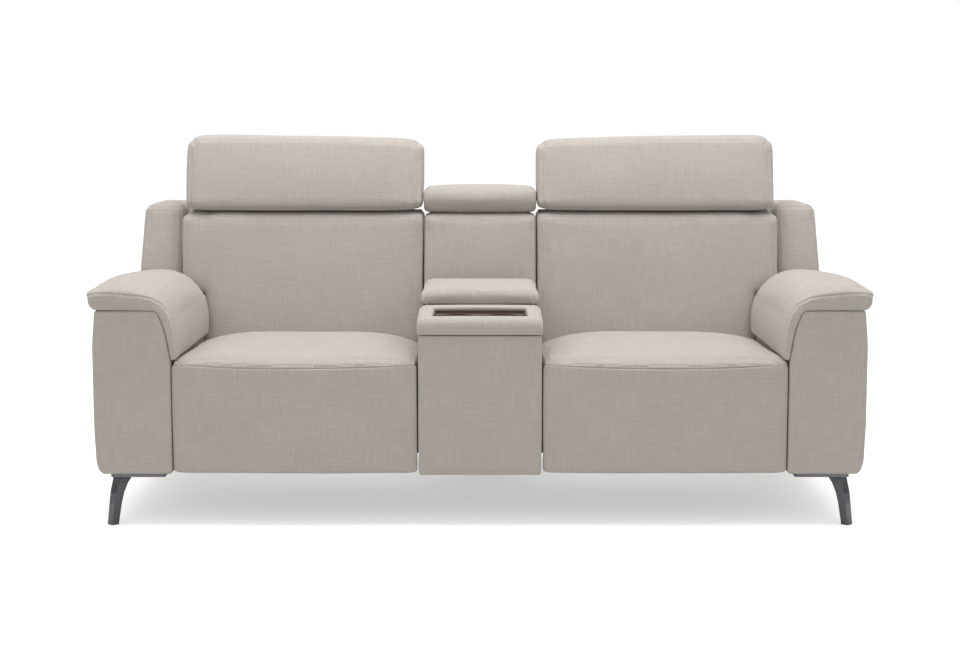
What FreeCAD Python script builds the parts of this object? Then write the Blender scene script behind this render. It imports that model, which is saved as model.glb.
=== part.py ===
import math
import os

import FreeCAD
import Part

os.makedirs("parts", exist_ok=True)

V = FreeCAD.Vector
ACROSS = V(1, 0, 0)

# Overall layout: x to the right, y to the rear, z up, the floor at z = 0.
body_bottom = 137.0
front_plane = -480.0
rear_plane = 480.0
fabric_gap = 0.3

# Widths, counted outwards from the middle of the console
console_half = 158.5
seat_gap = 5.5
seat_width = 626.0
arm_gap = 5.0
arm_width = 191.0
pad_overhang = 17.0
wing_setback = 70.0
ear_gap = 4.0
seat_inner = console_half + seat_gap
seat_outer = seat_inner + seat_width
seat_mid = (seat_inner + seat_outer) / 2
arm_inner = seat_outer + arm_gap
arm_outer = arm_inner + arm_width
pad_outer = arm_outer + pad_overhang
wing_inner = arm_inner + wing_setback
ear_outer = wing_inner - ear_gap

# Arms
arm_front = front_plane + 4.0
arm_rear = rear_plane - 2.0
arm_top = 560.0
arm_step = 105.0
arm_ledge = 180.0
arm_low_top = arm_top - arm_ledge
pad_thick = 49.0
pad_drop = 120.0
pad_top = arm_top + pad_thick
pad_tip = arm_top - pad_drop
pad_rear = arm_step + 45.0
frame_board = 15.0
frame_inset = 18.0
frame_inner = 31.0
pad_foam = 20.0
tip_lip = 16.0

# Legs: the plate lies under the arm's corner, the blade runs on its diagonal.
plate_side = 140.0
plate_thick = 9.0
plate_setback = 32.0
plate_back = 10.0
blade_corner = 6.0
screw_radius = 3.0
screw_edge = 26.0

# Base
tube_deep = 40.0
tube_high = 20.0
tube_wall = 2.5
front_tube = -250.0
rear_tube = rear_plane - 82.0
base_board = 13.0
runner_wall = 4.0
runner_slot = 22.0
runner_high = 22.0
skirt_thick = 18.0
skirt_top = body_bottom + 155.0

# Backs
rake = 0.243
back_foot = 85.0
back_foot_height = 417.0
back_bottom = 352.0
back_height = 419.0
back_top = back_bottom + back_height
back_thick = 130.0
back_panel = 16.0
shell_thick = 34.0
ear_bottom = arm_top - 20.0
back_pivot_y = back_foot - 5.0
back_pivot_z = back_bottom - 17.0

# Wings
wing_rise = 26.0
wing_top = back_top + wing_rise

# Headrests
head_gap = 6.0
head_height = 219.0
head_bottom = back_top + head_gap
head_top = head_bottom + head_height
head_inner = seat_inner + 3.0
head_outer = ear_outer - 9.0
head_lead = 14.7
head_rake = 0.37
head_fall = 12.0
head_thick = 84.0
head_board = 9.0
head_pivot_z = back_top + 15.0
head_pivot_depth = 87.3
head_hinge_out = 190.0
head_hinges = (seat_mid - head_hinge_out, seat_mid + head_hinge_out)

# Seats
deck_bottom = 331.0
deck_thick = 12.0
deck_top = deck_bottom + deck_thick
cushion_bottom = deck_top + fabric_gap
seat_seam = 421.0
crown_rise = 22.0
seat_crown = seat_seam + crown_rise
side_plate = 4.0
plate_inset = 14.0

# Footrest scissor, seen from the side
scissor_y = front_plane + 115.0
scissor_z = deck_bottom - 101.0
link_length = 83.0
link_width = 18.0
link_thick = 4.0
link_space = 1.0
folded_angle = 83.0
open_angle = 7.0
scissor_slope = 12.0
crank_radius = 45.0
pin_radius = 5.0
hub_radius = 6.0
pin_fit = 0.05
slot_fit = 1.1
head_high = 2.6
board_thick = 15.0
board_rear = front_plane + 55.0

# Console
console_front = front_plane
console_rear = back_foot - 25.0
console_step = -268.0
console_low = 499.0
step_rise = 45.8
console_high = console_low + step_rise
front_pad_thick = 38.0
front_pad_top = console_low + front_pad_thick
wall = 15.0
cover_thick = 17.5
bin_floor = 260.0
tray_side = 37.5
tray_half = console_half - tray_side
tray_front = console_front + 50.0
tray_back = console_step - 42.0
tray_wall = 4.0
cup_radius = 43.0
cup_depth = 60.0
lid_front = console_step + 6.0
lid_board_thick = 9.0
lid_pad_thick = 38.0
lid_pivot_y = console_rear + 3.0
lid_pivot_z = console_high + 4.2
knuckle_radius = 4.0
lid_pin = 2.0
knuckle_out = 60.0
button_radius = 8.0
button_step = 24.0
button_y = console_step - 37.0
button_z = console_low - 28.0
centre_spread = 3.0
roll_deep = 122.0
roll_high = 76.4


def block(x0, x1, y0, y1, z0, z1, radius=0.0):
    shape = Part.makeBox(x1 - x0, y1 - y0, z1 - z0, V(x0, y0, z0))
    return shape.makeFillet(radius, shape.Edges) if radius else shape


def rod(centre, axis, radius, length):
    return Part.makeCylinder(radius, length, centre, axis)


def across(y, z, radius, x0, x1):
    return rod(V(x0, y, z), ACROSS, radius, x1 - x0)


def side_shape(points, x0, x1):
    wire = Part.makePolygon([V(x0, y, z) for y, z in points] + [V(x0, *points[0])])
    return Part.Face(wire).extrude(V(x1 - x0, 0, 0))


def joined(shapes):
    return shapes[0].multiFuse(shapes[1:]).removeSplitter()


def place(axis, station, u, v):
    if axis == "x":
        return V(station, u, v)
    if axis == "y":
        return V(u, station, v)
    return V(u, v, station)


def ring(axis, station, box, radius, bow, lean=0.0, lean_from=0.0):
    """A rounded rectangle whose four sides bow outwards, leaning with height."""
    u0, u1, v0, v1 = box
    low, right, high, left = bow

    def at(u, v):
        return place(axis, station, u + lean * (v - lean_from), v)

    um, vm = (u0 + u1) / 2, (v0 + v1) / 2
    d = radius * (1 - math.sqrt(0.5))
    marks = [
        (at(u0 + radius, v0), at(um, v0 - low), at(u1 - radius, v0)),
        (at(u1 - radius, v0), at(u1 - d, v0 + d), at(u1, v0 + radius)),
        (at(u1, v0 + radius), at(u1 + right, vm), at(u1, v1 - radius)),
        (at(u1, v1 - radius), at(u1 - d, v1 - d), at(u1 - radius, v1)),
        (at(u1 - radius, v1), at(um, v1 + high), at(u0 + radius, v1)),
        (at(u0 + radius, v1), at(u0 + d, v1 - d), at(u0, v1 - radius)),
        (at(u0, v1 - radius), at(u0 - left, vm), at(u0, v0 + radius)),
        (at(u0, v0 + radius), at(u0 + d, v0 + d), at(u0 + radius, v0)),
    ]
    edges = []
    for a, m, b in marks:
        flat = (a + b) * 0.5
        if flat.distanceToPoint(m) < 0.05:
            edges.append(Part.makeLine(a, b))
        else:
            edges.append(Part.Arc(a, m, b).toShape())
    return Part.Wire(edges)


swell_stations = (0.0, 0.015, 0.05, 0.14, 0.3, 0.5, 0.7, 0.86, 0.95, 0.985, 1.0)


def pillow(axis, start, end, box, radius, bow, draw, lean=0.0, lean_from=0.0, keep_low=False,
           fall=0.0):
    """A crowned pad: its section swells from both ends towards the middle."""
    wires = []
    for part in swell_stations:
        away = abs(2 * part - 1)
        swell = math.sin(math.pi * part) ** 0.6
        inset = draw * (0.75 * away ** 24 + 0.25 * away ** 3)
        u0, u1, v0, v1 = box
        low = v0 if keep_low else v0 + inset
        wires.append(ring(axis, start + (end - start) * part,
                          (u0 + inset, u1 - inset, low, v1 - inset - fall * (1 - part)),
                          radius, [b * (0.15 + 0.85 * swell) for b in bow], lean, lean_from))
    return Part.makeLoft(wires, True, True)


def back_line(z):
    return back_foot + rake * (z - back_foot_height)


head_front = back_line(head_bottom) - head_lead
head_pivot_y = back_line(head_pivot_z) + head_pivot_depth
hinge_half = 10.5
hinge_radius = 8.0
hinge_pin = 4.0
lug_wide = 6.0


def leaning(x0, x1, offset0, offset1, z0, z1):
    return side_shape([(back_line(z0) + offset0, z0), (back_line(z0) + offset1, z0),
                       (back_line(z1) + offset1, z1), (back_line(z1) + offset0, z1)], x0, x1)


def mirrored(shape):
    return shape.mirror(V(0, 0, 0), ACROSS)


def save(name, shape):
    shape.exportStep("parts/" + name + ".step")


def save_pair(name, right):
    save(name + "_right", right)
    save(name + "_left", mirrored(right))


# Legs: a tapered diamond blade under each arm end, kicked outwards towards the floor.
# Each row is a share of the blade's height, with its inner and outer edge as seen from
# the front, counted inwards from the arm's outer side.
leg_profile = [(1.0, 87.0, 32.0), (0.945, 79.0, 31.0), (0.836, 70.0, 29.0),
               (0.648, 61.0, 25.0), (0.43, 55.0, 22.5), (0.0, 47.0, 18.0)]
plate_outer = arm_outer - plate_setback
plate_front = -front_plane - plate_back
plate_bottom = body_bottom - plate_thick
screw_far = plate_side - screw_edge
screw_places = [(screw_edge, screw_far), (screw_far, screw_edge), (screw_far, screw_far),
                (screw_far, plate_side / 2)]


def leg():
    wires = []
    for share, inset_inner, inset_outer in leg_profile:
        z = share * plate_bottom
        inner, outer = arm_outer - inset_inner, arm_outer - inset_outer
        xm, half = (inner + outer) / 2, (outer - inner) / 2
        ym = arm_outer - xm + front_plane - blade_corner
        points = [V(outer, ym, z), V(xm, ym + half, z), V(inner, ym, z), V(xm, ym - half, z)]
        wires.append(Part.makePolygon(points + [points[0]]))
    blade = Part.makeLoft(wires, True, True)
    plate = block(plate_outer - plate_side, plate_outer, -plate_front, plate_side - plate_front,
                  plate_bottom, body_bottom)
    upright = [e for e in plate.Edges if abs(e.Vertexes[0].Point.z - e.Vertexes[1].Point.z) > 1]
    plate = plate.makeFillet(8.0, upright)
    shape = joined([plate, blade])
    for dx, dy in screw_places:
        shape = shape.cut(rod(V(plate_outer - dx, dy - plate_front, plate_bottom - 1), V(0, 0, 1),
                              screw_radius + pin_fit, plate_thick + 2))
    return shape


def leg_screws():
    screws = []
    for dx, dy in screw_places:
        at = V(plate_outer - dx, dy - plate_front, 0)
        shank = rod(at + V(0, 0, plate_bottom), V(0, 0, 1), screw_radius, plate_thick + 11)
        head = rod(at + V(0, 0, plate_bottom - 3), V(0, 0, 1), 2.2 * screw_radius, 3)
        socket = rod(at + V(0, 0, plate_bottom - 3.1), V(0, 0, 1), 0.9 * screw_radius, 2)
        screws.append(joined([shank, head]).cut(socket))
    return screws


def four_corners(shapes):
    right = shapes + [s.mirror(V(0, 0, 0), V(0, 1, 0)) for s in shapes]
    return Part.makeCompound(right + [mirrored(s) for s in right])


save("legs", four_corners([leg()]))
save("leg_screws", four_corners(leg_screws()))


# Base: two cross tubes carry four runners on which the seats glide.
tube_bottom = body_bottom + base_board
tube_top = tube_bottom + tube_high
runner_floor = tube_top + runner_wall
plate_x_outer = seat_outer - plate_inset - side_plate
plate_x_inner = seat_inner + plate_inset
glide_centres = [plate_x_inner + side_plate / 2, plate_x_outer + side_plate / 2]
tube_reach = arm_outer - frame_inset - frame_board - 4.0


def tube(y0):
    outer = block(-tube_reach, tube_reach, y0, y0 + tube_deep, tube_bottom, tube_top)
    bore = block(-tube_reach - 1, tube_reach + 1, y0 + tube_wall, y0 + tube_deep - tube_wall,
                 tube_bottom + tube_wall, tube_top - tube_wall)
    return outer.cut(bore)


def runner(x):
    half = runner_slot / 2 + runner_wall
    body = block(x - half, x + half, front_tube, rear_tube + tube_deep, tube_top,
                 tube_top + runner_high)
    groove = block(x - runner_slot / 2, x + runner_slot / 2, front_tube - 1,
                   rear_tube + tube_deep + 1, runner_floor, tube_top + runner_high + 1)
    return body.cut(groove)


runners = [runner(side * x) for side in (-1, 1) for x in glide_centres]
save("base_frame", joined([tube(front_tube), tube(rear_tube)] + runners))

skirt_rear = rear_tube + tube_deep
save("rear_skirt", block(-arm_inner + 2, arm_inner - 2, skirt_rear, skirt_rear + skirt_thick,
                         body_bottom + 3, skirt_top, 4.0))


def tube_slots(x0, x1, clearance=1.0):
    return [block(x0, x1, y - clearance, y + tube_deep + clearance, tube_bottom - clearance,
                  tube_top + clearance) for y in (front_tube, rear_tube)]


# Arms: a board frame, an upholstered body with a bevelled inner top edge, and a pad
# that rolls over the top and down the inner side.
def arm_frame():
    x0, x1 = arm_inner + frame_inner, arm_outer - frame_inset
    xw = wing_inner + frame_inset + 2
    y0, y1 = arm_front + frame_inset + 6, arm_rear - frame_inset
    ys = arm_step - frame_inset
    z0, z1 = body_bottom, arm_top - frame_inset + 3
    zl = arm_low_top - frame_inset
    t = frame_board
    boards = [
        block(x0, x1, y0, y1, z0, z0 + base_board),
        block(x0, x0 + t, y0, ys, z0 + base_board, z1),
        block(x0, x0 + t, ys, y1, z0 + base_board, zl),
        block(x0, xw + t, ys, y1, zl - t, zl),
        block(xw, xw + t, ys - t, y1, zl - t, z1),
        block(x0, xw + t, ys - t, ys, zl - t, z1),
        block(x0, x1, y0, y0 + t, z0 + base_board, z1),
        block(x0, x1, y1 - t, y1, z0 + base_board, zl),
        block(xw, x1, y1 - t, y1, z0 + base_board, z1),
        block(x0, x1, y0, ys, z1 - t, z1),
        block(xw, x1, ys, y1, z1 - t, z1),
    ]
    shape = joined(boards)
    for slot in tube_slots(x0 - 1, x0 + t + 1, 0.0):
        shape = shape.cut(slot)
    for screw in leg_screws():
        for end in (screw, screw.mirror(V(0, 0, 0), V(0, 1, 0))):
            c = end.BoundBox
            shape = shape.cut(rod(V(c.Center.x, c.Center.y, z0 - 1), V(0, 0, 1),
                                  screw_radius + pin_fit, base_board + 2))
    return shape


def arm_cover():
    z0, bulge = body_bottom + 0.5, arm_outer + 8.0
    wires = []
    for y, s in ((arm_front, 7.0), (arm_front + 3, 2.5), (arm_front + 10, 0.0),
                 (arm_rear - 10, 0.0), (arm_rear - 3, 2.5), (arm_rear, 7.0)):
        profile = [(arm_inner, z0), (arm_inner, pad_tip), (arm_inner + 12, pad_tip + 72),
                   (arm_inner + 27, arm_top - 8), (arm_inner + 35, arm_top),
                   (arm_outer - s, arm_top), (bulge - s, arm_top - 90), (bulge - s, z0 + 120),
                   (arm_outer + 4 - s, z0 + 30), (arm_outer - 2 - s, z0 + 9),
                   (arm_outer - 10 - s, z0)]
        points = [V(x, y, z) for x, z in profile]
        wires.append(Part.makePolygon(points + points[:1]))
    body = Part.makeLoft(wires, True, True)
    body = body.cut(block(0, wing_inner + 3, arm_step, arm_rear + 1, arm_low_top, arm_top + 1))
    g = fabric_gap
    x0, x1 = arm_inner + frame_inner - g, arm_outer - frame_inset + g
    y0, y1 = arm_front + frame_inset + 6 - g, arm_rear - frame_inset + g
    ys = arm_step - frame_inset + g
    xw = wing_inner + frame_inset + 2 - g
    z1, zl = arm_top - frame_inset + 3 + g, arm_low_top - frame_inset + g
    hollow = joined([block(x0, x1, y0, ys, z0 - 5, z1), block(x0, x1, ys, y1, z0 - 5, zl),
                     block(xw, x1, ys, y1, z0 - 5, z1)])
    body = body.cut(hollow)
    for slot in tube_slots(arm_inner - 1, x0 + 1):
        body = body.cut(slot)
    return body


def arm_pad_wire(y, shrink, outer, rise):
    """The pad's section: its outer faces drawn in by shrink, its top lifted by rise."""
    s, g = shrink, fabric_gap
    low = arm_top + g
    high = pad_top + rise
    mid, shoulder = arm_outer - 61, arm_inner + 67
    fold = arm_inner + pad_foam - 3
    side, tip = arm_inner - tip_lip + 11, arm_inner - tip_lip
    runs = [
        [(outer - 18 - s, low), (outer - s, (low + high) / 2 - 3), (outer - 20 - s, high - 2 - s)],
        [(outer - 20 - s, high - 2 - s), (mid, high + 3 - s), (shoulder, high - 6 - s)],
        [(shoulder, high - 6 - s), (fold + s, high - 35 - s), (side + s, arm_top - 20)],
        [(side + s, arm_top - 20), (tip + 1 + s, arm_top - 60), (tip + s, pad_tip + 14)],
        [(tip + s, pad_tip + 14), (tip + 3 + s, pad_tip + 3), (arm_inner - 3 - g, pad_tip)],
        [(arm_inner - 3 - g, pad_tip), (arm_inner - g, pad_tip + 3), (arm_inner - g, pad_tip + 7)],
        [(arm_inner - g, pad_tip + 7), (arm_inner + 12 - g, pad_tip + 72)],
        [(arm_inner + 12 - g, pad_tip + 72), (arm_inner + 27 - g, arm_top - 7)],
        [(arm_inner + 27 - g, arm_top - 7), (arm_inner + 35 - g, low)],
        [(arm_inner + 35 - g, low), (outer - 18 - s, low)],
    ]
    edges = []
    for run in runs:
        points = [V(x, y, z) for x, z in run]
        if len(points) == 3:
            edges.append(Part.Arc(*points).toShape())
        else:
            edges.append(Part.makeLine(*points))
    return Part.Wire(edges)


def arm_pad():
    first, last = arm_front - 3, arm_step + 25
    stations = [(first, 8.0, pad_outer - 1, 0.0), (first + 3, 4.5, pad_outer, 0.0),
                (first + 10, 2.0, pad_outer, 1.5), (first + 40, 0.0, pad_outer, 7.0),
                (first + 100, 0.0, pad_outer + 1, 13.0), (first + 190, -1.0, pad_outer + 1, 16.0),
                (first + 320, -1.0, pad_outer - 2, 14.0), (first + 460, 0.0, pad_outer - 7, 8.0),
                (last, 1.0, pad_outer - 12, 0.0)]
    front = Part.makeLoft([arm_pad_wire(*s) for s in stations], True, True)
    front = front.cut(leaning(arm_inner - 60, wing_inner + 3, -9, 400, pad_tip - 30, arm_top + 120))
    tail = pillow("y", last - 30, pad_rear, (wing_inner + 3, pad_outer - 14, arm_top + fabric_gap,
                                             pad_top - 2), 14.0, (0, 3, 2, 0), 2.0, keep_low=True)
    return joined([front, tail])


def wing():
    wires = []
    for z, inset in ((arm_top + fabric_gap, 3.0), (arm_top + 14, 0.0),
                     ((arm_top + wing_top) / 2, 0.0), (wing_top - 14, 3.0), (wing_top, 13.0)):
        front = pad_rear + 7 + (z - arm_top) * 0.305
        outer = arm_outer + 3 - (z - arm_top) * 0.035
        wires.append(ring("z", z, (wing_inner + inset, outer - inset, front + inset,
                                   rear_plane - 2.4 - inset), 16.0, (3, 3, 2, 0)))
    return Part.makeLoft(wires, True, True)


save_pair("arm_frame", arm_frame())
save_pair("arm_cover", arm_cover())
save_pair("arm_pad", arm_pad())
save_pair("wing", wing())


# Seats: a steel frame with a deck on two side plates, on shoes in the runners.
inside_outer = plate_x_outer
inside_inner = plate_x_inner + side_plate
slope = math.radians(scissor_slope)


def layers(t0, t1):
    """The x ranges of one layer, counted inwards from each side plate."""
    return [(inside_outer - t1, inside_outer - t0), (inside_inner + t0, inside_inner + t1)]


track_half = 21.0
track_high = 24.0
track_bottom = runner_floor + 16.0
track_front = scissor_y + 13.0
tube_forward = -100.0
screw_up = 13.0
drive_screw = 5.0
shoe_top = tube_top + runner_high + 6
layer_one = (link_space, link_space + link_thick)
layer_two = (layer_one[1] + link_space, layer_one[1] + link_space + link_thick)
rivet = (layer_two[1] + 0.2, layer_two[1] + 0.2 + head_high)
layer_three = (rivet[1] + 1.2, rivet[1] + 1.2 + link_thick)


def turned(angle_deg, length, start=(0.0, 0.0)):
    a = math.radians(angle_deg) + slope
    return (start[0] + length * math.cos(a), start[1] + length * math.sin(a))


# Scissor pivots when folded, as (forward, up) from the fixed pivot.
cross_step = 2 * link_length * math.cos(math.radians(folded_angle))
pivot_cross = turned(0, cross_step)
pivot_end = turned(0, 2 * cross_step)
upper_rear = turned(folded_angle, link_length)
lower_rear = turned(-folded_angle, link_length)
upper_front = turned(folded_angle, link_length, pivot_cross)
lower_front = turned(-folded_angle, link_length, pivot_cross)
half_swing = (folded_angle - open_angle) / 2
crank_upper = (crank_radius * math.cos(math.radians(90 + half_swing)),
               crank_radius * math.sin(math.radians(90 + half_swing)))
crank_lower = (crank_upper[0], -crank_upper[1])


def world(point):
    return scissor_y - point[0], scissor_z + point[1]


def strip(a, b, x0, x1, width=link_width):
    """A flat link with round ends between two pivots."""
    (ya, za), (yb, zb) = world(a), world(b)
    length = math.hypot(yb - ya, zb - za)
    ny, nz = -(zb - za) / length * width / 2, (yb - ya) / length * width / 2
    bar = side_shape([(ya + ny, za + nz), (yb + ny, zb + nz), (yb - ny, zb - nz),
                      (ya - ny, za - nz)], x0, x1)
    return joined([bar, across(ya, za, width / 2, x0, x1), across(yb, zb, width / 2, x0, x1)])


def pin(point, layer_from, layer_to, radius, head=0.0):
    """Pins on both sides of the seat, from one layer to another, with a rivet head."""
    y, z = world(point)
    shapes = [across(y, z, radius, x0, x1) for x0, x1 in layers(layer_from, layer_to)]
    if head:
        for i, (x0, x1) in enumerate(layers(*rivet)):
            shapes[i] = joined([shapes[i], across(y, z, head, x0, x1)])
    return shapes


def bored(shapes, point, radius):
    y, z = world(point)
    return [s.cut(across(y, z, radius + pin_fit, s.BoundBox.XMin - 1, s.BoundBox.XMax + 1))
            for s in shapes]


def link(a, b, layer, pins, holes, crank=None):
    """Both copies of one scissor link, with their own pins and bored holes."""
    shapes = [strip(a, b, x0, x1) for x0, x1 in layers(*layer)]
    if crank:
        arms = [strip(a, crank, x0, x1) for x0, x1 in layers(*layer)]
        ends = pin(crank, layer[0], layer_three[1] + 0.5, pin_radius)
        shapes = [joined([s, m, e]) for s, m, e in zip(shapes, arms, ends)]
    for point in pins:
        ends = pin(point, layer[0], rivet[1], pin_radius, 8.0)
        shapes = [joined([s, e]) for s, e in zip(shapes, ends)]
    for point, radius in holes:
        shapes = bored(shapes, point, radius)
    return Part.makeCompound(shapes)


origin = (0.0, 0.0)
links = {
    "link_rear_upper": link(origin, upper_rear, layer_one, [upper_rear],
                            [(origin, hub_radius)], crank_upper),
    "link_rear_lower": link(origin, lower_rear, layer_two, [],
                            [(origin, hub_radius), (lower_rear, pin_radius)], crank_lower),
    "link_cross_down": link(upper_rear, lower_front, layer_two, [],
                            [(upper_rear, pin_radius), (pivot_cross, pin_radius),
                             (lower_front, pin_radius)]),
    "link_cross_up": link(lower_rear, upper_front, layer_one,
                          [lower_rear, pivot_cross, upper_front], []),
    "link_front_lower": link(lower_front, pivot_end, layer_one, [lower_front, pivot_end], []),
}
for name, shape in links.items():
    save_pair(name, shape)


def seat_frame():
    plates, y0, rear = [], scissor_y - 55.0, back_pivot_y + 40.0
    outline = [(y0, deck_bottom), (y0, scissor_z + 32), (scissor_y - 27, scissor_z - 25),
               (scissor_y + 25, scissor_z - 34), (rear, shoe_top - 2), (rear, deck_bottom)]
    for x0, x1 in layers(-side_plate, 0):
        plate = side_shape(outline, x0, x1)
        lug = across(back_pivot_y, back_pivot_z, 14.0, x0, x1)
        foot = block((x0 + x1) / 2 - runner_slot / 2 + 0.1, (x0 + x1) / 2 + runner_slot / 2 - 0.1,
                     front_tube + 50, rear - 2, runner_floor + 0.05, shoe_top)
        plates.append(joined([plate, lug, foot]))
    pins = pin(origin, -0.5, rivet[1], hub_radius, 9.0)
    x0, x1 = plate_x_inner, plate_x_outer + side_plate
    deck = block(x0, x1, y0 + 2, back_foot - 27, deck_bottom, deck_top)
    front_bar = block(x0 + 1, x1 - 1, front_tube + 10, front_tube + 30, deck_bottom - 31, deck_bottom)
    rear_bar = block(x0 + 1, x1 - 1, rear - 24, rear - 4, track_bottom + track_high,
                     track_bottom + track_high + 30)
    straps = [block(seat_mid + s - 2, seat_mid + s + 2, track_front, track_front + 18,
                    track_bottom, deck_bottom)
              for s in (-track_half - 2, track_half + 2)]
    shape = joined(plates + pins + [deck, front_bar, rear_bar] + straps)
    for x0, x1 in layers(-side_plate, layer_two[1]):
        shape = shape.cut(across(back_pivot_y, back_pivot_z, hub_radius + pin_fit, x0, x1))
    return shape


# Actuator: a screw drives a nut along its track; the nut's cross tube pushes a slotted
# yoke at each side, which turns the upper and lower cranks by equal and opposite angles.
def actuator_housing():
    x0, x1 = seat_mid - track_half, seat_mid + track_half
    box_front, box_rear = back_pivot_y - 46.0, back_pivot_y + 15.9
    track = block(x0, x1, track_front, box_front + 6, track_bottom, track_bottom + track_high)
    track = track.cut(block(x0 + 3, x1 - 3, track_front + 3, box_front - 4, track_bottom + 3,
                            track_bottom + 30))
    screw = rod(V(seat_mid, track_front + 2, track_bottom + screw_up), V(0, 1, 0), drive_screw,
                box_front + 6 - track_front)
    gearbox = block(seat_mid - 36, seat_mid + 36, box_front, box_rear, track_bottom + 6,
                    track_bottom + 72, 5.0)
    motor = rod(V(seat_mid - 90, box_front + 28, track_bottom + 40), ACROSS, 26.0, 60.0)
    return joined([track, screw, gearbox, motor])


def actuator_slider():
    tube_y, tube_z = world((tube_forward, 0.0))
    low, high = track_bottom + 3.05, track_bottom + track_high + 2
    nut = block(seat_mid - track_half + 3.05, seat_mid + track_half - 3.05, tube_y - 14, tube_y + 36,
                low, high)
    nut = nut.cut(rod(V(seat_mid, tube_y - 20, track_bottom + screw_up), V(0, 1, 0),
                      drive_screw + pin_fit, 70))
    post = block(seat_mid - 10, seat_mid + 10, tube_y - 10, tube_y + 10, high - 1, tube_z)
    bar = across(tube_y, tube_z, 9.0, inside_inner + layer_three[0], inside_outer - layer_three[0])
    yokes = []
    for x0, x1 in layers(*layer_three):
        yc, reach = world((crank_upper[0], 0))[0], crank_radius + pin_radius + 11
        plate = block(x0, x1, yc - 15, yc + 15, scissor_z - reach, scissor_z + reach)
        plate = joined([plate, block(x0, x1, yc, tube_y, tube_z - 9, tube_z + 9)])
        half = pin_radius + slot_fit
        inner, outer = crank_upper[1] - pin_radius - 1.5, crank_radius + pin_radius + 1.5
        for z0, z1 in ((inner, outer), (-outer, -inner)):
            plate = plate.cut(block(x0 - 1, x1 + 1, yc - half, yc + half, scissor_z + z0,
                                    scissor_z + z1))
        yokes.append(plate)
    return joined([nut, post, bar] + yokes)


save_pair("seat_frame", seat_frame())
save_pair("actuator_housing", actuator_housing())
save_pair("actuator_slider", actuator_slider())


# The footrest pad and the seat cushion meet on a mitre that rises towards the front,
# so the footrest can leave the cushion while it swings up.
mitre_rise = 1.28
mitre_gap = 2.0


def cushion_edge(away):
    return front_plane + 1 + 9 * away ** 2, seat_seam - 6 + 9 * away ** 2


def seat_cushion():
    wires = []
    for part in swell_stations:
        x = seat_inner + (seat_outer - seat_inner) * part
        away = abs(2 * part - 1)
        full = 1 - away ** 6
        drop = 38.0 * away ** 4 if part < 0.5 else 28.0 * away ** 4
        front, seam = cushion_edge(away)
        crown = seat_crown - drop
        rear = back_line(crown - 30) - 12
        foot = cushion_bottom
        a = V(x, front + (seam - foot) / mitre_rise, foot)
        b = V(x, front, seam)
        c = V(x, front + 44, max(seam + 3, min(crown + 1, seam + 17)))
        d = V(x, rear - 26, crown - 4)
        e = V(x, rear - 4, crown - 34)
        f = V(x, back_line(foot) - 8, foot)
        wires.append(Part.Wire([
            Part.makeLine(a, b),
            Part.Arc(b, V(x, front + 9, seam + (c.z - seam) * 0.62), c).toShape(),
            Part.Arc(c, V(x, (c.y + d.y) / 2, (c.z + d.z) / 2 + 5 * full + 1), d).toShape(),
            Part.Arc(d, V(x, rear - 8, crown - 14), e).toShape(),
            Part.makeLine(e, f), Part.makeLine(f, a)]))
    return Part.makeLoft(wires, True, True)


def footrest_pad():
    wires = []
    x0, x1 = seat_inner, seat_outer
    for part in swell_stations:
        x = x0 + (x1 - x0) * part
        away = abs(2 * part - 1)
        edge, seam = cushion_edge(away)
        front = edge + 0.5 + 3 * away ** 30
        rear = board_rear - board_thick - fabric_gap
        low = body_bottom + 2 + 3 * away ** 30
        a, b = V(x, rear, low), V(x, front + 8, low)
        top = seam - mitre_gap - mitre_rise * (front + 2.5 - edge)
        c, d = V(x, front + 1, low + 8), V(x, front + 1, top - 5)
        e = V(x, front + 2.5, top)
        f = V(x, rear, seam - mitre_gap - mitre_rise * (rear - edge))
        wires.append(Part.Wire([
            Part.makeLine(a, b), Part.Arc(b, V(x, front + 3, low + 2.5), c).toShape(),
            Part.Arc(c, V(x, front - 1.0, (c.z + d.z) / 2), d).toShape(),
            Part.Arc(d, V(x, front + 1.3, top - 2), e).toShape(),
            Part.makeLine(e, f), Part.makeLine(f, a)]))
    return Part.makeLoft(wires, True, True)


def footrest_board():
    y0, y1 = board_rear - board_thick, board_rear
    board = block(seat_inner + 8, seat_outer - 8, y0, y1, body_bottom + 8, cushion_bottom - 5)
    arms = []
    (ye, ze), (yb, zb) = world(upper_front), world(pivot_end)
    for x0, x1 in layers(*layer_two):
        web = side_shape([(ye, ze), (board_rear, ze + 4), (board_rear, zb - 6), (yb, zb)], x0, x1)
        arms.append(joined([strip(upper_front, pivot_end, x0, x1), web]))
    for point in (upper_front, pivot_end):
        arms = bored(arms, point, pin_radius)
    return joined([board] + arms)


save_pair("seat_cushion", seat_cushion())
save_pair("footrest_pad", footrest_pad())
save_pair("footrest_board", footrest_board())


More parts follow.
